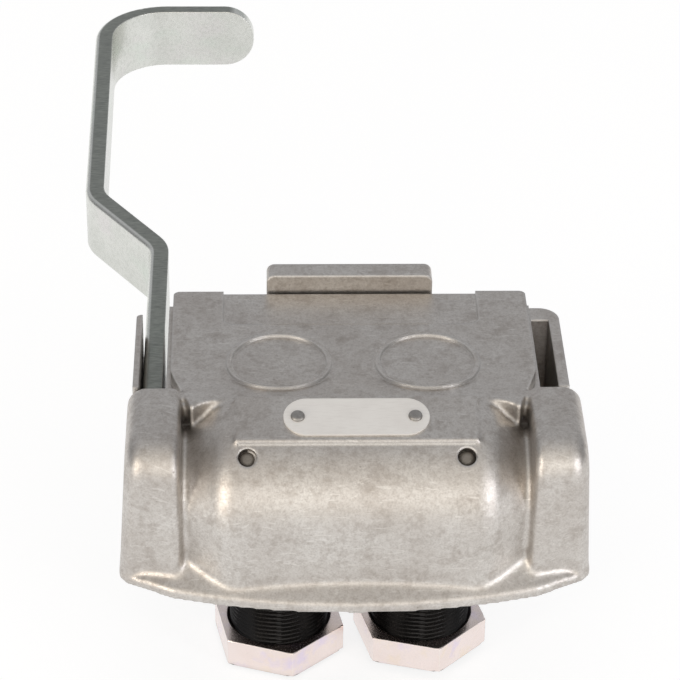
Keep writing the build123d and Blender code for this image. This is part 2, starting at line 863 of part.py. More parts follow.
for side, x in port_x.items():
    axis_plane = Plane(origin=(x, 0, 0), x_dir=(1, 0, 0), z_dir=(0, 0, 1))

    with BuildPart() as valve_stub:
        with BuildSketch(axis_plane.offset(-stub_length)):
            Circle(thread_r)
            Circle(port_bore_d / 2, mode=Mode.SUBTRACT)
        extrude(amount=stub_length + stub_engagement)
        with BuildSketch(axis_plane.offset(-stub_length)):
            Circle(port_thread_d / 2)
        extrude(amount=port_thread_depth, mode=Mode.SUBTRACT)
        chamfer(edges().group_by(Axis.Z)[0], length=stub_chamfer)
        with BuildSketch(axis_plane.offset(stub_seal_z - stub_seal_d / 2 - loose_gap / 2)):
            Circle(thread_r + fit_gap)
            Circle(groove_r, mode=Mode.SUBTRACT)
        extrude(amount=stub_seal_d + loose_gap, mode=Mode.SUBTRACT)
    valve_stub.part.label = f"valve_stub_{side}"
    export_step(valve_stub.part, f"parts/valve_stub_{side}.step")

    with BuildPart() as stub_seal:
        with BuildSketch(Plane(origin=(x, 0, stub_seal_z), x_dir=(1, 0, 0), z_dir=(0, 1, 0))):
            with Locations((groove_r + stub_seal_d / 2, 0)):
                RegularPolygon(stub_seal_d / 2, wire_sides)
        revolve(axis=Axis((x, 0, 0), (0, 0, 1)))
    stub_seal.part.label = f"stub_seal_{side}"
    export_step(stub_seal.part, f"parts/stub_seal_{side}.step")

    with BuildPart() as lock_nut:
        with BuildSketch(Plane(origin=(x, 0, -nut_drop[side]), x_dir=(1, 0, 0), z_dir=(0, 1, 0))):
            with BuildLine():
                Polyline(
                    (0, 0),
                    (nut_corner_r - nut_top_break, 0),
                    (nut_corner_r, nut_top_break),
                    (nut_corner_r, nut_height - nut_bevel),
                    (nut_face_r, nut_height),
                    (0, nut_height),
                    close=True,
                )
            make_face()
        revolve(axis=Axis((x, 0, 0), (0, 0, 1)))
        with BuildSketch(axis_plane.offset(-nut_drop[side] - nut_height)):
            RegularPolygon(nut_flats / 2, 6, major_radius=False, rotation=nut_turn[side] - 90)
            Circle(thread_r + fit_gap, mode=Mode.SUBTRACT)
        extrude(amount=nut_height, mode=Mode.INTERSECT)
    lock_nut.part.label = f"lock_nut_{side}"
    export_step(lock_nut.part, f"parts/lock_nut_{side}.step")

    with BuildPart() as spring_seat:
        with BuildSketch(axis_plane.offset(stub_engagement)):
            Circle(chamber_r - fit_gap)
            Circle(stem_d / 2 + loose_gap, mode=Mode.SUBTRACT)
            with PolarLocations((port_bore_d - air_hole_d) / 2, 6):
                Circle(air_hole_d / 2, mode=Mode.SUBTRACT)
        extrude(amount=spring_seat_thick)
    spring_seat.part.label = f"spring_seat_{side}"
    export_step(spring_seat.part, f"parts/spring_seat_{side}.step")

    with BuildPart() as valve_plunger:
        with BuildSketch(axis_plane.offset(stem_low)):
            Circle(stem_d / 2)
        extrude(amount=stem_top - stem_low)
        with BuildSketch(axis_plane.offset(disc_low)):
            Circle(disc_r)
        extrude(amount=disc_thick)
        with BuildSketch(axis_plane.offset(disc_top)):
            Rectangle(throat_d, guide_rib)
            Rectangle(guide_rib, throat_d)
            Circle(throat_r - loose_gap, mode=Mode.INTERSECT)
        extrude(amount=stem_top - disc_top)
    valve_plunger.part.label = f"valve_plunger_{side}"
    export_step(valve_plunger.part, f"parts/valve_plunger_{side}.step")

    with BuildPart() as valve_seal:
        with BuildSketch(axis_plane.offset(disc_top)):
            Circle(disc_r - loose_gap)
            Circle(throat_r - loose_gap / 2, mode=Mode.SUBTRACT)
        extrude(amount=valve_seal_thick)
    valve_seal.part.label = f"valve_seal_{side}"
    export_step(valve_seal.part, f"parts/valve_seal_{side}.step")

    with BuildPart() as valve_spring:
        with BuildLine(axis_plane.offset(spring_low + valve_wire_d / 2)) as coil:
            Helix(
                pitch=valve_pitch,
                height=disc_low - spring_low - valve_wire_d,
                radius=valve_coil_r,
            )
        with BuildSketch(Plane(origin=coil.line @ 0, z_dir=coil.line % 0)):
            RegularPolygon(valve_wire_d / 2, wire_sides)
        sweep(path=coil.line, is_frenet=True)
    valve_spring.part.label = f"valve_spring_{side}"
    export_step(valve_spring.part, f"parts/valve_spring_{side}.step")

    with BuildPart() as face_seal:
        with BuildSketch(axis_plane.offset(deck_top - face_seal_depth)):
            Circle(throat_r + face_seal_width - fit_gap)
            Circle(throat_r + loose_gap, mode=Mode.SUBTRACT)
        extrude(amount=face_seal_depth + seat_gap)
    face_seal.part.label = f"face_seal_{side}"
    export_step(face_seal.part, f"parts/face_seal_{side}.step")
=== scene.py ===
import bpy
import bmesh
from math import atan2, cos, hypot, pi, radians, sin, tan
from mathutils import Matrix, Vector


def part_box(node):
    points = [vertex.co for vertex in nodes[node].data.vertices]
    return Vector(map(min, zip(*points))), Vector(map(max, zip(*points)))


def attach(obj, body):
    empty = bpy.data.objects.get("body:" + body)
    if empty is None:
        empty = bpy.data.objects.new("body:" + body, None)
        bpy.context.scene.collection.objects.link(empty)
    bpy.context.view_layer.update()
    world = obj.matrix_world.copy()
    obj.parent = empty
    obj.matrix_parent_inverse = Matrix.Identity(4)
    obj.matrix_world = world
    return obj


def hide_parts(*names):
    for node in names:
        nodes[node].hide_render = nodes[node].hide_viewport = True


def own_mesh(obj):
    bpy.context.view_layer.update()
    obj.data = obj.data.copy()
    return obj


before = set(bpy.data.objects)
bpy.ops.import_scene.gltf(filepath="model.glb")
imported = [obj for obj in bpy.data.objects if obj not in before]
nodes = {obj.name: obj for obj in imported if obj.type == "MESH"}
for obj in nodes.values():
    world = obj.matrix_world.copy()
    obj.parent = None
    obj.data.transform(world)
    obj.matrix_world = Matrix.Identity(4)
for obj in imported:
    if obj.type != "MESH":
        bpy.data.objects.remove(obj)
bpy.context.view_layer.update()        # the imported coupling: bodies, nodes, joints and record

scene = bpy.context.scene
scene.view_settings.view_transform = "Standard"
print("frame loaded,", len(nodes), "nodes")


def toLinear(hexText):
    # sRGB hex to the linear values that the shaders work in
    values = [int(hexText[i:i + 2], 16) / 255 for i in (1, 3, 5)]
    values = [v / 12.92 if v <= 0.04045 else ((v + 0.055) / 1.055) ** 2.4 for v in values]
    return (*values, 1.0)


def addNode(tree, kind, settings, links=None, out=0):
    # one node with its settings and links, and the output that is wanted from it
    made = tree.nodes.new("ShaderNode" + kind)
    for key, value in settings.items():
        if isinstance(key, str) and hasattr(made, key):
            setattr(made, key, value)
        else:
            made.inputs[key].default_value = value
    for key, socket in (links or {}).items():
        tree.links.new(socket, made.inputs[key])
    return made.outputs[out] if len(made.outputs) else made


# Camera, at the place from which the photograph was taken
camera = {
    "place": (-0.026975, -0.705925, 0.543849), "turn": (56.7010, -0.6834, -1.4178), "lens": 154.857, "sensor": 36.0,
    "near": 0.01, "far": 20.0,
}
cameraData = bpy.data.cameras.new("photoCamera")
cameraData.lens = camera["lens"]
cameraData.sensor_width = camera["sensor"]
cameraData.sensor_fit = "HORIZONTAL"
cameraData.clip_start = camera["near"]
cameraData.clip_end = camera["far"]
photoCamera = bpy.data.objects.new("photoCamera", cameraData)
photoCamera.location = camera["place"]
photoCamera.rotation_euler = [radians(a) for a in camera["turn"]]
scene.collection.objects.link(photoCamera)
scene.camera = photoCamera
print("camera placed")


# Finishes. A layer is (size in mm, stretch, low, high, strength, hex): where its noise goes from
# low to high the colour goes over to the hex, as far as the strength says.
finishes = {
    # Die-cast aluminium, tumbled: soft grey mottled skin, paler on the edges (partly rubbed wear, partly a painted
    # highlight), darker in corners with painted shade
    "castAluminium": {
        "colour": "#d3cfca", "metallic": 1.0, "roughness": (0.32, 0.46), "skin": 0.8, "bump": 0.00006,
        "layers": (
            (20.0, (1, 1, 1), 0.36, 0.66, 0.8, "#c2bcb6"),      # broad patches left by the die
            (6.0, (1, 1, 1), 0.52, 0.76, 0.6, "#a0978f"),      # handling smudges
            (1.5, (1, 1, 1), 0.42, 0.70, 0.42, "#aaa29a"),      # flow mottling
            (0.55, (1, 1, 1), 0.45, 0.70, 0.32, "#8f8881"),     # grain, coarser than real so that it shows
        ),
        # corner: painted shade, darkening the creases and valleys of the casting
        # paler edges: partly rubbed wear, partly a painted edge highlight
        "wearAndHighlight": (0.0012, 0.5, "#ebe9e5"), "corner": (0.005, 0.4, "#7d766e"),
        "scratches": (0.4, 0.28, "#eae7e2"), "pits": (4.5, 0.5, "#7b736b"),
    },
    # Zinc-plated steel bar: bright and pale, faint green and pink in its passivation, darker
    # and speckled where the bar was sheared along its edges
    "zincPlatedBar": {
        "colour": "#dcddd8", "metallic": 1.0, "roughness": (0.22, 0.34), "skin": 0.8, "bump": 0.00004,
        "layers": (
            (16.0, (1, 1, 1), 0.38, 0.68, 0.7, "#cdcfc9"),
            (24.0, (1, 1, 1.6), 0.50, 0.66, 0.5, "#cfd9ce"),
            (19.0, (1, 1, 1.6), 0.56, 0.72, 0.3, "#dbd0d6"),
            (1.2, (1, 1, 1), 0.46, 0.66, 0.28, "#b5b8b2"),
        ),
        # corner: painted shade, darkening the bar where other parts close it in
        # paler edges: partly rubbed wear, partly a painted edge highlight
        "wearAndHighlight": (0.0005, 0.7, "#f1f1ec"), "corner": (0.005, 0.5, "#6f6f6a"),
        "sheared": ("#6d716c", "#93978f", (0.35, 3.0, 3.0)),
    },
    # Zinc-plated nut: turned faces, near white with a warm cast and a rainbow film
    "zincPlatedNut": {
        "colour": "#f5e8e4", "metallic": 1.0, "roughness": (0.18, 0.30), "skin": 0.7, "bump": 0.00003,
        "layers": (
            (9.0, (1, 1, 1), 0.40, 0.66, 0.5, "#efdfd8"),
            (10.0, (1, 1, 1), 0.52, 0.68, 0.6, "#e2d6f1"),
            (8.0, (1, 1.4, 1), 0.56, 0.70, 0.5, "#f3e3cc"),
            (0.5, (1, 1, 6), 0.45, 0.70, 0.2, "#bfb4ac"),
        ),
        # corner: strong painted shade, darkening the nut's faces where the base and stub close them in
        # paler edges: partly rubbed wear, partly a painted edge highlight
        "wearAndHighlight": (0.0004, 0.6, "#fbf6f1"), "corner": (0.006, 0.8, "#3b332e"),
    },
    # Steel under a glossy black plating, with thread crests that catch a thin line of light
    "blackPlatedSteel": {
        "colour": "#1a1919", "metallic": 0.5, "roughness": (0.20, 0.30), "skin": 1.0, "bump": 0.00002,
        "layers": ((4.0, (1, 1, 1), 0.40, 0.70, 0.7, "#221f1e"), (0.6, (1, 1, 1), 0.5, 0.7, 0.3, "#2c2826")),
    },
    # Oiled spring steel, cold drawn: dark grey with fine lines along the wire
    "oiledSpringSteel": {
        "colour": "#858588", "metallic": 1.0, "roughness": (0.26, 0.38), "skin": 1.0, "bump": 0.00003,
        "layers": ((2.0, (1, 1, 1), 0.40, 0.70, 0.8, "#605e5c"), (0.5, (1, 1, 1), 0.45, 0.7, 0.3, "#4a4744")),
    },
    # Pressed-in pins, flattened by the punch: even mid grey
    "peenedPinSteel": {
        "colour": "#8d8881", "metallic": 0.85, "roughness": (0.5, 0.62), "skin": 1.0, "bump": 0.00004,
        "layers": ((1.6, (1, 1, 1), 0.40, 0.70, 0.6, "#77716a"), (0.4, (1, 1, 1), 0.5, 0.7, 0.3, "#645e58")),
    },
    # Ground and oiled steel pin: even satin grey with fine rings from the wheel
    "groundPinSteel": {
        "colour": "#a9a8a6", "metallic": 1.0, "roughness": (0.22, 0.32), "skin": 1.0, "bump": 0.00002,
        "layers": ((3.0, (1, 1, 1), 0.40, 0.70, 0.7, "#918f8c"), (0.4, (6, 1, 1), 0.45, 0.7, 0.3, "#7a7875")),
    },
    # Steel ring under black oxide: dull black with a brown bloom
    "blackOxideClip": {
        "colour": "#1e1e20", "metallic": 0.8, "roughness": (0.36, 0.5), "skin": 1.0, "bump": 0.00003,
        "layers": ((2.0, (1, 1, 1), 0.40, 0.70, 0.7, "#302c29"), (0.5, (1, 1, 1), 0.5, 0.7, 0.3, "#3a3531")),
    },
    # Sintered bronze, full of oil: warm brown with open pores
    "sinteredBronze": {
        "colour": "#ab8655", "metallic": 1.0, "roughness": (0.34, 0.48), "skin": 1.0, "bump": 0.00006,
        "layers": ((1.2, (1, 1, 1), 0.40, 0.70, 0.8, "#8a683c"), (0.4, (1, 1, 1), 0.55, 0.7, 0.6, "#5f4728")),
    },
    # Turned brass: clear yellow with close tool rings
    "turnedBrass": {
        "colour": "#c9a75e", "metallic": 1.0, "roughness": (0.22, 0.34), "skin": 1.0, "bump": 0.00003,
        "layers": ((2.0, (1, 1, 1), 0.40, 0.70, 0.7, "#b08f4b"), (0.4, (1, 1, 5), 0.5, 0.7, 0.3, "#8f7339")),
    },
    # Moulded nitrile rubber: matt near-black with a faint grey bloom
    "nitrileRubber": {
        "colour": "#1b1b1c", "metallic": 0.0, "roughness": (0.55, 0.72), "skin": 1.0, "bump": 0.00006,
        "layers": ((1.5, (1, 1, 1), 0.40, 0.70, 0.7, "#272627"), (0.4, (1, 1, 1), 0.55, 0.7, 0.4, "#333132")),
    },
    # Drawn aluminium rivet, hammered: flat grey
    "drawnRivet": {
        "colour": "#aaa7a3", "metallic": 1.0, "roughness": (0.40, 0.52), "skin": 1.0, "bump": 0.00004,
        "layers": ((1.0, (1, 1, 1), 0.40, 0.70, 0.8, "#8f8b87"), (0.4, (1, 1, 1), 0.5, 0.7, 0.3, "#7a7672")),
    },
    # Rolled aluminium sheet with a satin lacquer: pale silver, nearly white, with faint rolling lines
    "lacqueredSheet": {
        "colour": "#f3f0eb", "metallic": 0.3, "roughness": (0.34, 0.44), "skin": 1.0, "bump": 0.00002,
        "layers": ((8.0, (1, 1, 1), 0.40, 0.70, 0.6, "#ebe7e2"), (0.5, (0.12, 1, 1), 0.5, 0.7, 0.2, "#d3cec8")),
        # paler edges: partly rubbed wear, partly a painted edge highlight
        "wearAndHighlight": (0.0002, 0.4, "#f7f6f3"),
    },
}


def makeFinish(name, look):
    material = bpy.data.materials.new(name)
    material.use_nodes = True
    tree = material.node_tree
    tree.nodes.clear()
    metres = addNode(tree, "TexCoord", {}, None, "Object")
    where = addNode(tree, "VectorMath", {"operation": "SCALE", "Scale": 1000.0}, {0: metres})       # millimetres
    colour = height = broad = None
    for size, stretch, low, high, strength, hexText in look["layers"]:
        placed = addNode(tree, "Mapping", {"Scale": [s / size for s in stretch]}, {"Vector": where})
        cloud = addNode(tree, "TexNoise", {"Scale": 1.0, "Detail": 4.0, "Roughness": 0.6}, {"Vector": placed})
        share = addNode(tree, "MapRange", {1: low, 2: high, 3: 0.0, 4: strength}, {0: cloud})
        if broad is None:        # the first layer goes over the finish's own colour
            broad = height = cloud
            shades = {"data_type": "RGBA", 6: toLinear(look["colour"]), 7: toLinear(hexText)}
            colour = addNode(tree, "Mix", shades, {0: share}, 2)
            continue
        colour = addNode(tree, "Mix", {"data_type": "RGBA", 7: toLinear(hexText)}, {0: share, 6: colour}, 2)
        height = addNode(tree, "Math", {"operation": "MULTIPLY_ADD", 1: 0.4}, {0: height, 2: cloud})
    smooth, coarse = look["roughness"]
    rough = addNode(tree, "MapRange", {1: 0.3, 2: 0.7, 3: smooth, 4: coarse}, {0: cloud})

    # pits of the casting, each in a cell of its own, and only where the skin is thin
    if "pits" in look:
        apart, strength, hexText = look["pits"]
        cell = addNode(tree, "TexVoronoi", {"Scale": 1 / apart}, {"Vector": where}, "Distance")
        pit = addNode(tree, "MapRange", {1: 0.045, 2: 0.085, 3: strength, 4: 0.0}, {0: cell})
        thin = addNode(tree, "MapRange", {1: 0.50, 2: 0.58}, {0: broad})
        pit = addNode(tree, "Math", {"operation": "MULTIPLY"}, {0: pit, 1: thin})
        colour = addNode(tree, "Mix", {"data_type": "RGBA", 7: toLinear(hexText)}, {0: pit, 6: colour}, 2)
        height = addNode(tree, "Math", {"operation": "MULTIPLY_ADD", 1: -1.5}, {0: pit, 2: height})

    # short curved scratches from the tumbling drum, in three directions, few of each
    if "scratches" in look:
        apart, strength, hexText = look["scratches"]
        for turn in ((0.3, 0.2, 0.5), (1.1, 0.7, 2.2), (0.5, 2.1, 1.4)):
            bent = addNode(tree, "TexNoise", {"Scale": 1 / 14.0, "Detail": 1.0}, {"Vector": where}, "Color")
            bent = addNode(tree, "VectorMath", {"operation": "MULTIPLY_ADD", 1: (7.0, 7.0, 7.0)}, {0: bent, 2: where})
            drawn = {"Rotation": turn, "Scale": (0.09, 0.5 / apart, 0.5 / apart)}
            along = addNode(tree, "Mapping", drawn, {"Vector": bent})
            line = addNode(tree, "TexNoise", {"Scale": 1.0, "Detail": 0.0}, {"Vector": along})
            line = addNode(tree, "MapRange", {1: 0.775, 2: 0.80, 3: 0.0, 4: strength}, {0: line})
            colour = addNode(tree, "Mix", {"data_type": "RGBA", 7: toLinear(hexText)}, {0: line, 6: colour}, 2)
            height = addNode(tree, "Math", {"operation": "MULTIPLY_ADD", 1: -0.5}, {0: line, 2: height})

    # faces that a shear has cut, which look straight up or down: darker, with lines across the bar
    if "sheared" in look:
        dark, light, stretch = look["sheared"]
        facing = addNode(tree, "NewGeometry", {}, None, "Normal")
        up = addNode(tree, "SeparateXYZ", {}, {0: facing}, 2)
        up = addNode(tree, "Math", {"operation": "ABSOLUTE"}, {0: up})
        up = addNode(tree, "MapRange", {1: 0.93, 2: 0.99, 3: 0.0, 4: 0.85}, {0: up})
        across = addNode(tree, "Mapping", {"Scale": stretch}, {"Vector": where})
        lines = addNode(tree, "TexNoise", {"Scale": 1.0, "Detail": 2.0}, {"Vector": across})
        lines = addNode(tree, "MapRange", {1: 0.35, 2: 0.65}, {0: lines})
        cut = addNode(tree, "Mix", {"data_type": "RGBA", 6: toLinear(dark), 7: toLinear(light)}, {0: lines}, 2)
        colour = addNode(tree, "Mix", {"data_type": "RGBA"}, {0: up, 6: colour, 7: cut}, 2)
        rough = addNode(tree, "Math", {"operation": "MULTIPLY_ADD", 1: 0.15}, {0: up, 2: rough})

    # paler edges, where the rounded normal leaves the true one: partly rubbed wear, partly a painted edge highlight
    normal = None
    if "wearAndHighlight" in look:
        reach, strength, hexText = look["wearAndHighlight"]
        normal = addNode(tree, "Bevel", {"samples": 6, "Radius": reach})
        true = addNode(tree, "NewGeometry", {}, None, "Normal")
        apart = addNode(tree, "VectorMath", {"operation": "DOT_PRODUCT"}, {0: normal, 1: true}, "Value")
        edgeWearAndHighlight = addNode(tree, "MapRange", {1: 0.995, 2: 0.90, 3: 0.0, 4: strength}, {0: apart})
        colour = addNode(tree, "Mix", {"data_type": "RGBA", 7: toLinear(hexText)}, {0: edgeWearAndHighlight, 6: colour}, 2)

    # painted shade: darker and rougher in corners, creases and hollows, where ambient occlusion finds the surface
    # closed in
    if "corner" in look:
        reach, strength, hexText = look["corner"]
        opened = addNode(tree, "AmbientOcclusion", {"samples": 6, "Distance": reach}, None, "AO")
        corner = addNode(tree, "MapRange", {1: 0.62, 2: 0.25, 3: 0.0, 4: strength}, {0: opened})
        colour = addNode(tree, "Mix", {"data_type": "RGBA", 7: toLinear(hexText)}, {0: corner, 6: colour}, 2)
        rough = addNode(tree, "Math", {"operation": "MULTIPLY_ADD", 1: 0.15}, {0: corner, 2: rough})

    surface = {"Height": height}
    if normal:
        surface["Normal"] = normal
    bump = addNode(tree, "Bump", {"Strength": look["skin"], "Distance": look["bump"]}, surface)
    inputs = {"Base Color": colour, "Roughness": rough, "Normal": bump}
    shader = addNode(tree, "BsdfPrincipled", {"Metallic": look["metallic"]}, inputs)
    addNode(tree, "OutputMaterial", {}, {"Surface": shader})
    return material


materials = {name: makeFinish(name, look) for name, look in finishes.items()}
print("materials made")

finishOf = {
    "base_housing": "castAluminium", "cover": "castAluminium", "handle": "zincPlatedBar",
    "hinge_pin": "groundPinSteel", "cross_pins": "peenedPinSteel", "pin_clip": "blackOxideClip",
    "hinge_bush_left": "sinteredBronze", "hinge_bush_right": "sinteredBronze",
    "handle_washer": "zincPlatedNut", "pin_spacer": "zincPlatedNut", "torsion_spring": "oiledSpringSteel",
    "rating_plate": "lacqueredSheet", "plate_rivets": "drawnRivet",
}
for side in ("left", "right"):
    finishOf.update({
        "valve_stub_" + side: "blackPlatedSteel", "stub_seal_" + side: "nitrileRubber",
        "lock_nut_" + side: "zincPlatedNut", "spring_seat_" + side: "turnedBrass",
        "valve_plunger_" + side: "turnedBrass", "valve_seal_" + side: "nitrileRubber",
        "valve_spring_" + side: "oiledSpringSteel", "face_seal_" + side: "nitrileRubber",
    })
for nodeName, finishName in finishOf.items():
    shape = nodes[nodeName]
    shape.data.materials.clear()
    shape.data.materials.append(materials[finishName])
print("CAD nodes finished")


# Cover skin: the CAD cover, whose front corners get the soft runs of a worn casting die. The ears
# lean with the flange, the valleys beside the barrel are filled, and the flange slopes up to them.
skin = {
    "hinge": (-26.0, 47.5), "voxel": 0.7, "draft": 4.0, "welded": 0.002,
    "rimFront": -56.6, "rimSide": (52.0, -49.6), "rimCorner": (66.2, -42.0), "rimTop": 27.35,
    "cut": {"inner": 33.5, "rear": -14.9, "front": -40.0, "foot": 36.0},      # where corners and body meet
    "lean": {
        "earIn": 49.5, "earRun": 12.5, "held": 57.0, "inner": 3.5, "change": 8.5, "top": 68.0, "height": 38.0,
        "low": (27.35, 27.6), "reach": (1, 12),
    },
    "valley": {
        "section": (        # (distance from the middle, radius about the hinge)
            (32.5, 26.0), (35, 25.9), (37.5, 25.2), (40, 23.9), (43, 21.8), (46, 19.6), (49.5, 17.2), (52.5, 15.6),
        ),
        "levels": (25.2, 30, 36, 42), "angles": range(0, 121, 5), "fades": (92, 118), "rest": 14.5, "back": 14.0,
    },
    "band": {
        "stops": (0, 8, 16, 24, 30, 33, 36, 39, 42, 45, 48, 50, 52, 55, 58, 61, 64, 66.2), "under": 24.5,
        "past": -0.15, "width": 7.0, "slope": 0.8, "end": (60, 66),
        "corner": (2.0, 33, 42), "ear": (3.2, 47, 52),        # (change of width, from, to)
    },
    "ease": {        # pairs are the places between which a share goes from 0 to 1
        "rounds": 26, "factor": 0.5, "least": 0.12, "front": 0.6, "rim": 0.25, "earLess": 0.4,
        "valleyIn": (34.5, 38), "earAt": (46, 49), "valleyOut": (64, 68), "valleyFront": (27, 31),
        "valleyFoot": (26.6, 28.6), "frontFoot": (26.6, 28.0), "belowTop": (-33, -30), "frontReach": (45, 48),
        "rimFoot": (24.9, 26.0), "rimBack": (0.5, 2.2), "rimEnd": 66,
        "seamSide": (33.6, 35.5), "seamTop": (-35.5, -33),
    },
}


def closedGrid(shape, rows):
    # a skin over rows of points: each row is a closed loop, and the first and last rows are capped
    made = [[shape.verts.new([c / 1000 for c in p]) for p in row] for row in rows]
    for first, second in zip(made, made[1:]):
        for i in range(len(first)):
            j = (i + 1) % len(first)
            shape.faces.new((first[i], first[j], second[j], second[i]))
    shape.faces.new(made[0])
    shape.faces.new(made[-1])


def softStep(value, low, high):
    t = min(1.0, max(0.0, (value - low) / (high - low)))
    return t * t * (3 - 2 * t)


def rimAt(off):
    # how far forward the rim of the flange lies, at a distance from the middle
    sideX, sideY = skin["rimSide"]
    cornerX, cornerY = skin["rimCorner"]
    if off > sideX:
        return sideY + (cornerY - sideY) * (off - sideX) / (cornerX - sideX)
    bow = sideY - skin["rimFront"]
    radius = (sideX ** 2 + bow ** 2) / 2 / bow
    return skin["rimFront"] + radius - (radius ** 2 - off ** 2) ** 0.5


def leanEars(shape):
    hingeY = skin["hinge"][0]
    lean = skin["lean"]
    for v in shape.verts:
        x, y, z = [c * 1000 for c in v.co]
        if abs(x) > lean["earIn"] - 0.1 and y < hingeY:
            move = lean["inner"] - lean["change"] * (min(abs(x), lean["held"]) - lean["earIn"]) / lean["earRun"]
            share = min(1.0, max(0.0, (lean["top"] - z) / lean["height"]))
            share *= softStep(hingeY - y, *lean["reach"]) * softStep(z, *lean["low"])
            v.co.y -= move * share / 1000


def fillValley(shape, sign):
    # from the flange up over the front, beside the barrel
    hingeY, hingeZ = skin["hinge"]
    valley = skin["valley"]
    rows = []
    for z, angle in [(z, 0) for z in valley["levels"]] + [(hingeZ, angle) for angle in valley["angles"]]:
        out, up = cos(radians(angle)), sin(radians(angle))
        fade = 1 - softStep(angle, *valley["fades"])
        grow = (z - hingeZ) * tan(radians(skin["draft"])) if z < hingeZ else 0
        row = []
        for off, r in valley["section"]:
            r = valley["rest"] + (r - valley["rest"]) * fade + grow
            row.append((sign * off, hingeY - r * out, z + r * up))
        for off, r in reversed(valley["section"]):
            r = valley["back"] + grow
            row.append((sign * off, hingeY - r * out, z + r * up))
        rows.append(row)
    closedGrid(shape, rows)


def slopeFlange(shape, sign):
    # from the rim of the flange up to the walls
    band = skin["band"]
    wider, cornerLow, cornerHigh = band["corner"]
    narrower, earLow, earHigh = band["ear"]
    rows = []
    path = [(off, rimAt(off)) for off in band["stops"]]
    for i, (off, y) in enumerate(path):
        before, after = path[max(0, i - 1)], path[min(len(path) - 1, i + 1)]
        run = hypot(after[0] - before[0], after[1] - before[1])
        nx, ny = -(after[1] - before[1]) / run, (after[0] - before[0]) / run
        slope = band["slope"] * (1 - softStep(off, *band["end"]))
        width = band["width"] + wider * softStep(off, cornerLow, cornerHigh)
        width -= narrower * softStep(off, earLow, earHigh)
        row = []
        for dist, z in ((band["past"], band["under"]), (band["past"], skin["rimTop"]),
                        (width, skin["rimTop"] + slope * width), (width, band["under"])):
            row.append((sign * (off + nx * dist), y + ny * dist, z))
        rows.append(row)
    closedGrid(shape, rows)


def easeShare(x, y, z):
    # most in the valleys, some on the flange's front, little elsewhere and on the rim's edge, and
    # none where the corners meet the body
    ease = skin["ease"]
    off = abs(x)
    valley = softStep(off, *ease["valleyIn"]) * (1 - ease["earLess"] * softStep(off, *ease["earAt"]))
    valley *= (1 - softStep(off, *ease["valleyOut"])) * softStep(-y, *ease["valleyFront"])
    valley *= softStep(z, *ease["valleyFoot"])
    front = ease["front"] * softStep(z, *ease["frontFoot"]) * softStep(-z, *ease["belowTop"])
    front *= softStep(-y, *ease["frontReach"])
    weight = min(1.0, ease["least"] + valley + front)
    behindRim = softStep(y - rimAt(min(off, ease["rimEnd"])), *ease["rimBack"])
    inside = min(softStep(z, *ease["rimFoot"]), behindRim)
    seam = min(softStep(off, *ease["seamSide"]) + softStep(-z, *ease["seamTop"]), 1.0)
    return (weight * inside + ease["rim"] * (1 - inside)) * seam


def applied(target):
    # the mesh after the modifiers, which are then gone
    mesh = bpy.data.meshes.new_from_object(target.evaluated_get(bpy.context.evaluated_depsgraph_get()))
    target.modifiers.clear()
    target.data = mesh
    return mesh


def keepPart(part, keepCorners):
    # cuts a mesh where corners and body meet, and keeps its one side
    cut = skin["cut"]
    shape = bmesh.new()
    shape.from_mesh(part.data)
    for place, normal in (((cut["inner"], 0, 0), (1, 0, 0)), ((-cut["inner"], 0, 0), (1, 0, 0)),
                          ((0, cut["rear"], 0), (0, 1, 0)), ((0, cut["front"], 0), (0, 1, 0)),
                          ((0, 0, cut["foot"]), (0, 0, 1))):
        bmesh.ops.bisect_plane(shape, geom=shape.verts[:] + shape.edges[:] + shape.faces[:], dist=1e-7,
                               plane_co=[c / 1000 for c in place], plane_no=normal)
    gone = []
    for face in shape.faces:
        x, y, z = face.calc_center_median() * 1000
        inEar = abs(x) > cut["inner"] and y < cut["rear"]
        inFoot = y < cut["front"] and z < cut["foot"]
        if (inEar or inFoot) != keepCorners:
            gone.append(face)
    bmesh.ops.delete(shape, geom=gone, context="FACES")
    for face in shape.faces:
        face.smooth = True
    shape.to_mesh(part.data)
    shape.free()


def coverSkin():
    shape = bmesh.new()
    shape.from_mesh(nodes["cover"].data)
    bmesh.ops.remove_doubles(shape, verts=shape.verts, dist=skin["welded"] / 1000)
    leanEars(shape)
    for sign in (-1, 1):
        fillValley(shape, sign)
        slopeFlange(shape, sign)
    bmesh.ops.recalc_face_normals(shape, faces=shape.faces)
    soft = bpy.data.meshes.new("softCorners")
    shape.to_mesh(soft)
    shape.free()
    corners = bpy.data.objects.new("softCorners", soft)
    scene.collection.objects.link(corners)
    remesh = corners.modifiers.new("voxels", "REMESH")
    remesh.mode = "VOXEL"
    remesh.voxel_size = skin["voxel"] / 1000
    soft = applied(corners)
    print("remeshed", len(soft.polygons))

    group = corners.vertex_groups.new(name="runs")
    for v in soft.vertices:
        group.add([v.index], easeShare(*[c * 1000 for c in v.co]), "REPLACE")
    smooth = corners.modifiers.new("runs", "SMOOTH")
    smooth.factor = skin["ease"]["factor"]
    smooth.iterations = skin["ease"]["rounds"]
    smooth.vertex_group = "runs"
    applied(corners)

    # the soft corners take the place of the same part of the CAD cover
    body = bpy.data.objects.new("castCover", nodes["cover"].data.copy())
    scene.collection.objects.link(body)
    keepPart(corners, True)
    keepPart(body, False)
    corners.data.materials.clear()
    corners.data.materials.append(materials["castAluminium"])
    print("corners", len(corners.data.polygons), "body", len(body.data.polygons))
    with bpy.context.temp_override(active_object=body, selected_editable_objects=[body, corners]):
        bpy.ops.object.join()
    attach(body, "cover")
    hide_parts("cover")


coverSkin()
print("cover skin laid")


portX = {"left": -21.6, "right": 21.6}

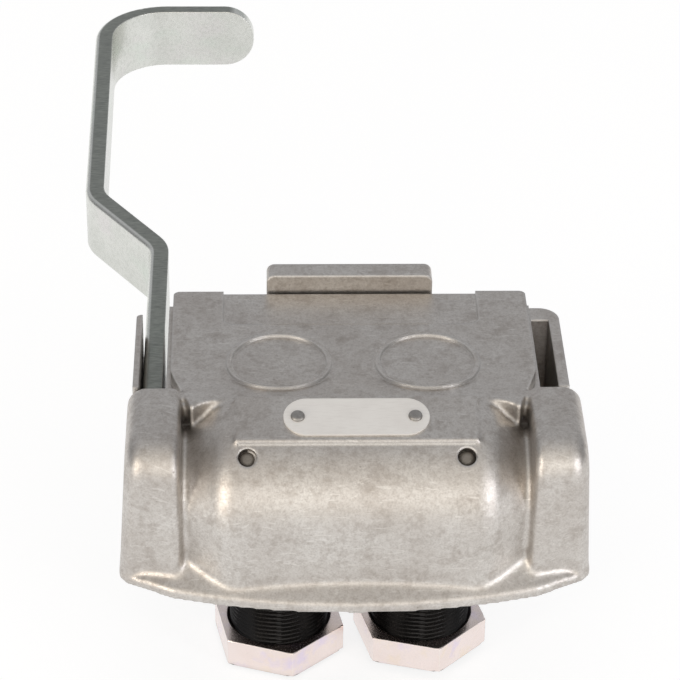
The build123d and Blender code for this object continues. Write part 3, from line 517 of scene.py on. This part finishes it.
# Threaded stubs: the CAD stub with its real outer and inner threads
stub = {
    "outer": 15.0, "pitch": 1.5, "depth": 0.85, "low": -30.0, "high": 18.0, "threadTop": -0.5,
    "port": 10.2, "portDepth": 16.0, "portThread": 0.75, "bore": 7.5, "chamfer": 1.2,
    "flankGain": 1.3, "rootFlat": 0.12, "steps": 72, "rowsPerTurn": 6, "sharpFrom": 50,
    "sealLow": 12.0, "sealHigh": 14.0, "sealFloor": 13.2,
}


def ringSkin(shape, rings):
    # faces between rings of points, the last ring joined to the first
    steps = len(rings[0])
    for first, second in zip(rings, rings[1:] + rings[:1]):
        for step in range(steps):
            after = (step + 1) % steps
            shape.faces.new((first[step], first[after], second[after], second[step])).smooth = True
    bmesh.ops.recalc_face_normals(shape, faces=shape.faces)


def threadedStub(side, x):
    rows = []        # (height, radius, thread depth with its sign)
    rise = stub["pitch"] / stub["rowsPerTurn"]
    inner = stub["port"]
    z = stub["low"] + stub["portDepth"]
    rows += [(stub["high"], stub["bore"], 0), (z, stub["bore"], 0), (z, inner, 0)]
    while z > stub["low"] + stub["chamfer"] + rise:
        z -= rise
        rows.append((z, inner, stub["portThread"]))
    rows += [(stub["low"], inner + stub["chamfer"], 0), (stub["low"], stub["outer"] - stub["chamfer"], 0)]
    z = stub["low"]
    while z < stub["threadTop"]:
        z += rise
        rows.append((z, stub["outer"], -stub["depth"]))
    for height, radius in ((stub["threadTop"] + rise, stub["outer"]), (stub["sealLow"], stub["outer"]),
                           (stub["sealLow"], stub["sealFloor"]), (stub["sealHigh"], stub["sealFloor"]),
                           (stub["sealHigh"], stub["outer"]), (stub["high"], stub["outer"])):
        rows.append((height, radius, 0))
    mesh = bpy.data.meshes.new("threadedStub_" + side)
    shape = bmesh.new()
    rings = []
    for height, radius, depth in rows:
        ring = []
        for step in range(stub["steps"]):
            angle = 2 * pi * step / stub["steps"]
            phase = (height / stub["pitch"] - step / stub["steps"]) % 1.0
            cut = min(1.0, max(0.0, (1 - abs(2 * phase - 1)) * stub["flankGain"] - stub["rootFlat"]))
            r = radius + depth * cut
            if depth < 0:
                r = min(r, stub["outer"] - stub["chamfer"] + (height - stub["low"]))
            if depth > 0:
                r = max(r, inner)
            ring.append(shape.verts.new(((x + r * cos(angle)) / 1000, r * sin(angle) / 1000, height / 1000)))
        rings.append(ring)
    ringSkin(shape, rings)
    shape.to_mesh(mesh)
    shape.free()
    mesh.materials.append(materials["blackPlatedSteel"])
    made = bpy.data.objects.new("threadedStub_" + side, mesh)
    scene.collection.objects.link(made)
    mesh.set_sharp_from_angle(angle=radians(stub["sharpFrom"]))
    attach(made, "base")
    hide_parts("valve_stub_" + side)


for side, x in portX.items():
    threadedStub(side, x)
print("stubs threaded")


# Lock nuts: crisp turned hexagons with small bevels and a plain bore, set as the CAD nuts are
nut = {"bore": 15.03, "lead": 0.9, "bevel": 0.45, "bottomBevel": 0.7, "sideSteps": 12, "sharpFrom": 20}


def lockNut(side, x):
    low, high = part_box("lock_nut_" + side)
    bottom, top = low[2] * 1000, high[2] * 1000
    spread = [(v.co.x * 1000 - x, v.co.y * 1000) for v in nodes["lock_nut_" + side].data.vertices]
    corner = max(spread, key=lambda p: p[0] ** 2 + p[1] ** 2)
    full, turn = hypot(*corner), atan2(corner[1], corner[0])
    bore, mouth = nut["bore"], nut["bore"] + nut["lead"]
    rows = [        # (height, radius, whether the flats cut it)
        (top, mouth, False), (top, full - nut["bevel"], True), (top - nut["bevel"] / 2, full, True),
        (bottom + nut["bottomBevel"] / 2, full, True), (bottom, full - nut["bottomBevel"], True),
        (bottom, mouth, False), (bottom + nut["lead"], bore, False), (top - nut["lead"], bore, False),
    ]
    mesh = bpy.data.meshes.new("turnedNut_" + side)
    shape = bmesh.new()
    rings = []
    count = 6 * nut["sideSteps"]
    for height, radius, flat in rows:
        ring = []
        for step in range(count):
            angle = 2 * pi * step / count
            part = angle % (pi / 3) - pi / 6          # 0 at the middle of a flat
            r = min(radius, full * cos(pi / 6) / cos(part)) if flat else radius
            place = x + r * cos(angle + turn), r * sin(angle + turn), height
            ring.append(shape.verts.new([c / 1000 for c in place]))
        rings.append(ring)
    ringSkin(shape, rings)
    shape.to_mesh(mesh)
    shape.free()
    mesh.materials.append(materials["zincPlatedNut"])
    made = bpy.data.objects.new("turnedNut_" + side, mesh)
    scene.collection.objects.link(made)
    mesh.set_sharp_from_angle(angle=radians(nut["sharpFrom"]))
    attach(made, "base")
    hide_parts("lock_nut_" + side)


for side, x in portX.items():
    lockNut(side, x)
print("nuts turned")


# Valve springs: copies of the CAD springs, held to the base; the real springs shorten when the valves are pushed
# down, these copies keep their length
for side in portX:
    coil = bpy.data.objects.new("pressedSpring_" + side, nodes["valve_spring_" + side].data.copy())
    scene.collection.objects.link(coil)
    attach(coil, "base")
    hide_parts("valve_spring_" + side)
    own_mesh(coil)
print("valve springs ready")


# Floor, world and lamps
studio = {
    "floorHeight": -0.0301, "floorSize": 6.0, "floorShade": 0.30, "floorGlow": 0.80,
    "world": 1.0, "sides": 0.5, "rear": "#bfc0c3", "front": "#fff9f0", "aim": (0, 0, 0.05),
}
bpy.ops.mesh.primitive_plane_add(size=studio["floorSize"], location=(0, 0, studio["floorHeight"]))
floor = bpy.context.object
floor.name = "studioFloor"
floorMaterial = bpy.data.materials.new("paleFloor")
floorMaterial.use_nodes = True
tree = floorMaterial.node_tree
tree.nodes.clear()
rays = ("Is Camera Ray", "Is Glossy Ray", "Is Transmission Ray")
seen = [addNode(tree, "LightPath", {}, None, ray) for ray in rays]
shows = addNode(tree, "Math", {"operation": "MAXIMUM"}, {0: seen[0], 1: seen[1]})
shows = addNode(tree, "Math", {"operation": "MAXIMUM"}, {0: shows, 1: seen[2]})
glow = addNode(tree, "Math", {"operation": "MULTIPLY", 1: studio["floorGlow"]}, {0: shows})
matt = addNode(tree, "BsdfDiffuse", {"Color": (*[studio["floorShade"]] * 3, 1)})
white = addNode(tree, "Emission", {"Color": (1, 1, 1, 1)}, {"Strength": glow})
addNode(tree, "OutputMaterial", {}, {"Surface": addNode(tree, "AddShader", {}, {0: matt, 1: white})})
floor.data.materials.append(floorMaterial)

world = bpy.data.worlds.new("studioWorld")
scene.world = world
world.use_nodes = True
tree = world.node_tree
tree.nodes.clear()
seen = addNode(tree, "LightPath", {}, None, "Is Camera Ray")
direction = addNode(tree, "TexCoord", {}, None, "Generated")
towardsFront = addNode(tree, "SeparateXYZ", {}, {0: direction}, 1)
towardsFront = addNode(tree, "MapRange", {1: 0.0, 2: -0.85, 3: 0.0, 4: 1.0}, {0: towardsFront})
shades = {"data_type": "RGBA", 6: toLinear(studio["rear"]), 7: toLinear(studio["front"])}
shade = addNode(tree, "Mix", shades, {0: towardsFront}, 2)
sideways = addNode(tree, "SeparateXYZ", {}, {0: direction}, 0)
sideways = addNode(tree, "Math", {"operation": "ABSOLUTE"}, {0: sideways})
levels = {1: 0.68, 2: 0.92, 3: studio["world"], 4: studio["world"] * studio["sides"]}
dimmed = addNode(tree, "MapRange", levels, {0: sideways})
lit = addNode(tree, "Background", {}, {"Color": shade, "Strength": dimmed})
blank = addNode(tree, "Background", {"Color": (1, 1, 1, 1), "Strength": 1.0})
addNode(tree, "OutputWorld", {}, {"Surface": addNode(tree, "MixShader", {}, {0: seen, 1: lit, 2: blank})})

softboxes = {
    "leftStrip": {"place": (-0.80, -0.70, 0.28), "size": (0.20, 0.60), "power": 2.3, "colour": "#fff6ea"},
    "rightStrip": {"place": (0.82, -0.68, 0.28), "size": (0.20, 0.60), "power": 2.3, "colour": "#f6f8ff"},
    "frontBox": {"place": (0.0, -1.15, 0.45), "size": (1.2, 0.5), "power": 1.2, "colour": "#ffffff"},
}
for name, look in softboxes.items():
    data = bpy.data.lights.new(name, "AREA")
    data.shape = "RECTANGLE"
    data.size, data.size_y = look["size"]
    data.energy = look["power"]
    data.color = toLinear(look["colour"])[:3]
    lamp = bpy.data.objects.new(name, data)
    lamp.location = look["place"]
    lamp.rotation_euler = (Vector(studio["aim"]) - Vector(look["place"])).to_track_quat("-Z", "Y").to_euler()
    scene.collection.objects.link(lamp)
print("studio lit")
